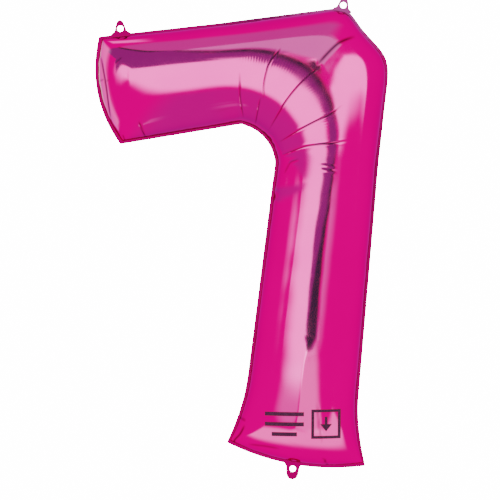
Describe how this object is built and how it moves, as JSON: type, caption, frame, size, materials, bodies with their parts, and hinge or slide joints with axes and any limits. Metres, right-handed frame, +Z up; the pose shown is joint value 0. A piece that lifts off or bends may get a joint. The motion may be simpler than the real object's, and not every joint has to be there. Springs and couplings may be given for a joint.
{
  "type": "foil number balloon",
  "caption": "Inflated metallised-film balloon in the shape of the numeral seven, with a heat-sealed margin, punched hanging tabs and a self-sealing fill valve.",
  "frame": {"origin": "centre of the punched hole in the filling tab under the foot, on the plane where the two film panels meet", "axes": "+Z up along the stem to the crown, +X to the right as the numeral is read, -Y out of the front film"},
  "size_m": [0.5216, 0.1806, 0.8593],
  "materials": {
    "magenta_foil": "mirror-bright metallised polyamide film, dyed magenta",
    "sealed_margin": "heat-sealed film layers, slightly duller than the foil",
    "valve_film": "clear low-gloss polyethylene",
    "release_coat": "matt printed release coating",
    "print_ink": "semi-matt black ink"
  },
  "bodies": {
    "envelope": {"front_foil_panel": "magenta_foil", "back_foil_panel": "magenta_foil", "perimeter_heat_seal": "sealed_margin", "valve_front_film": "valve_film", "valve_back_film": "valve_film", "valve_release_coat": "release_coat", "valve_left_side_weld": "valve_film", "valve_right_side_weld": "valve_film", "fill_arrow_print": "print_ink", "caption_bars_print": "print_ink"},
    "left_tab": {"upper_left_hanging_tab": "magenta_foil"},
    "right_tab": {"upper_right_hanging_tab": "magenta_foil"},
    "fill_tab": {"fill_tab_front_film": "magenta_foil", "fill_tab_back_film": "magenta_foil"}
  },
  "joints": [
    {"name": "left_tab_fold", "type": "hinge", "parent": "envelope", "child": "left_tab", "pos_m": [-0.30605, 0, 0.77573], "axis": [0.9962, 0, 0.0872], "range_deg": [-85, 85], "stiffness_Nm_per_rad": 0.0002},
    {"name": "right_tab_fold", "type": "hinge", "parent": "envelope", "child": "right_tab", "pos_m": [0.08844, 0, 0.81766], "axis": [0.9781, 0, -0.2079], "range_deg": [-85, 85], "stiffness_Nm_per_rad": 0.0002},
    {"name": "fill_tab_fold", "type": "hinge", "parent": "envelope", "child": "fill_tab", "pos_m": [0.00065, 0, 0.00747], "axis": [-0.9962, 0, 0.0872], "range_deg": [-85, 85], "stiffness_Nm_per_rad": 0.0002}
  ]
}
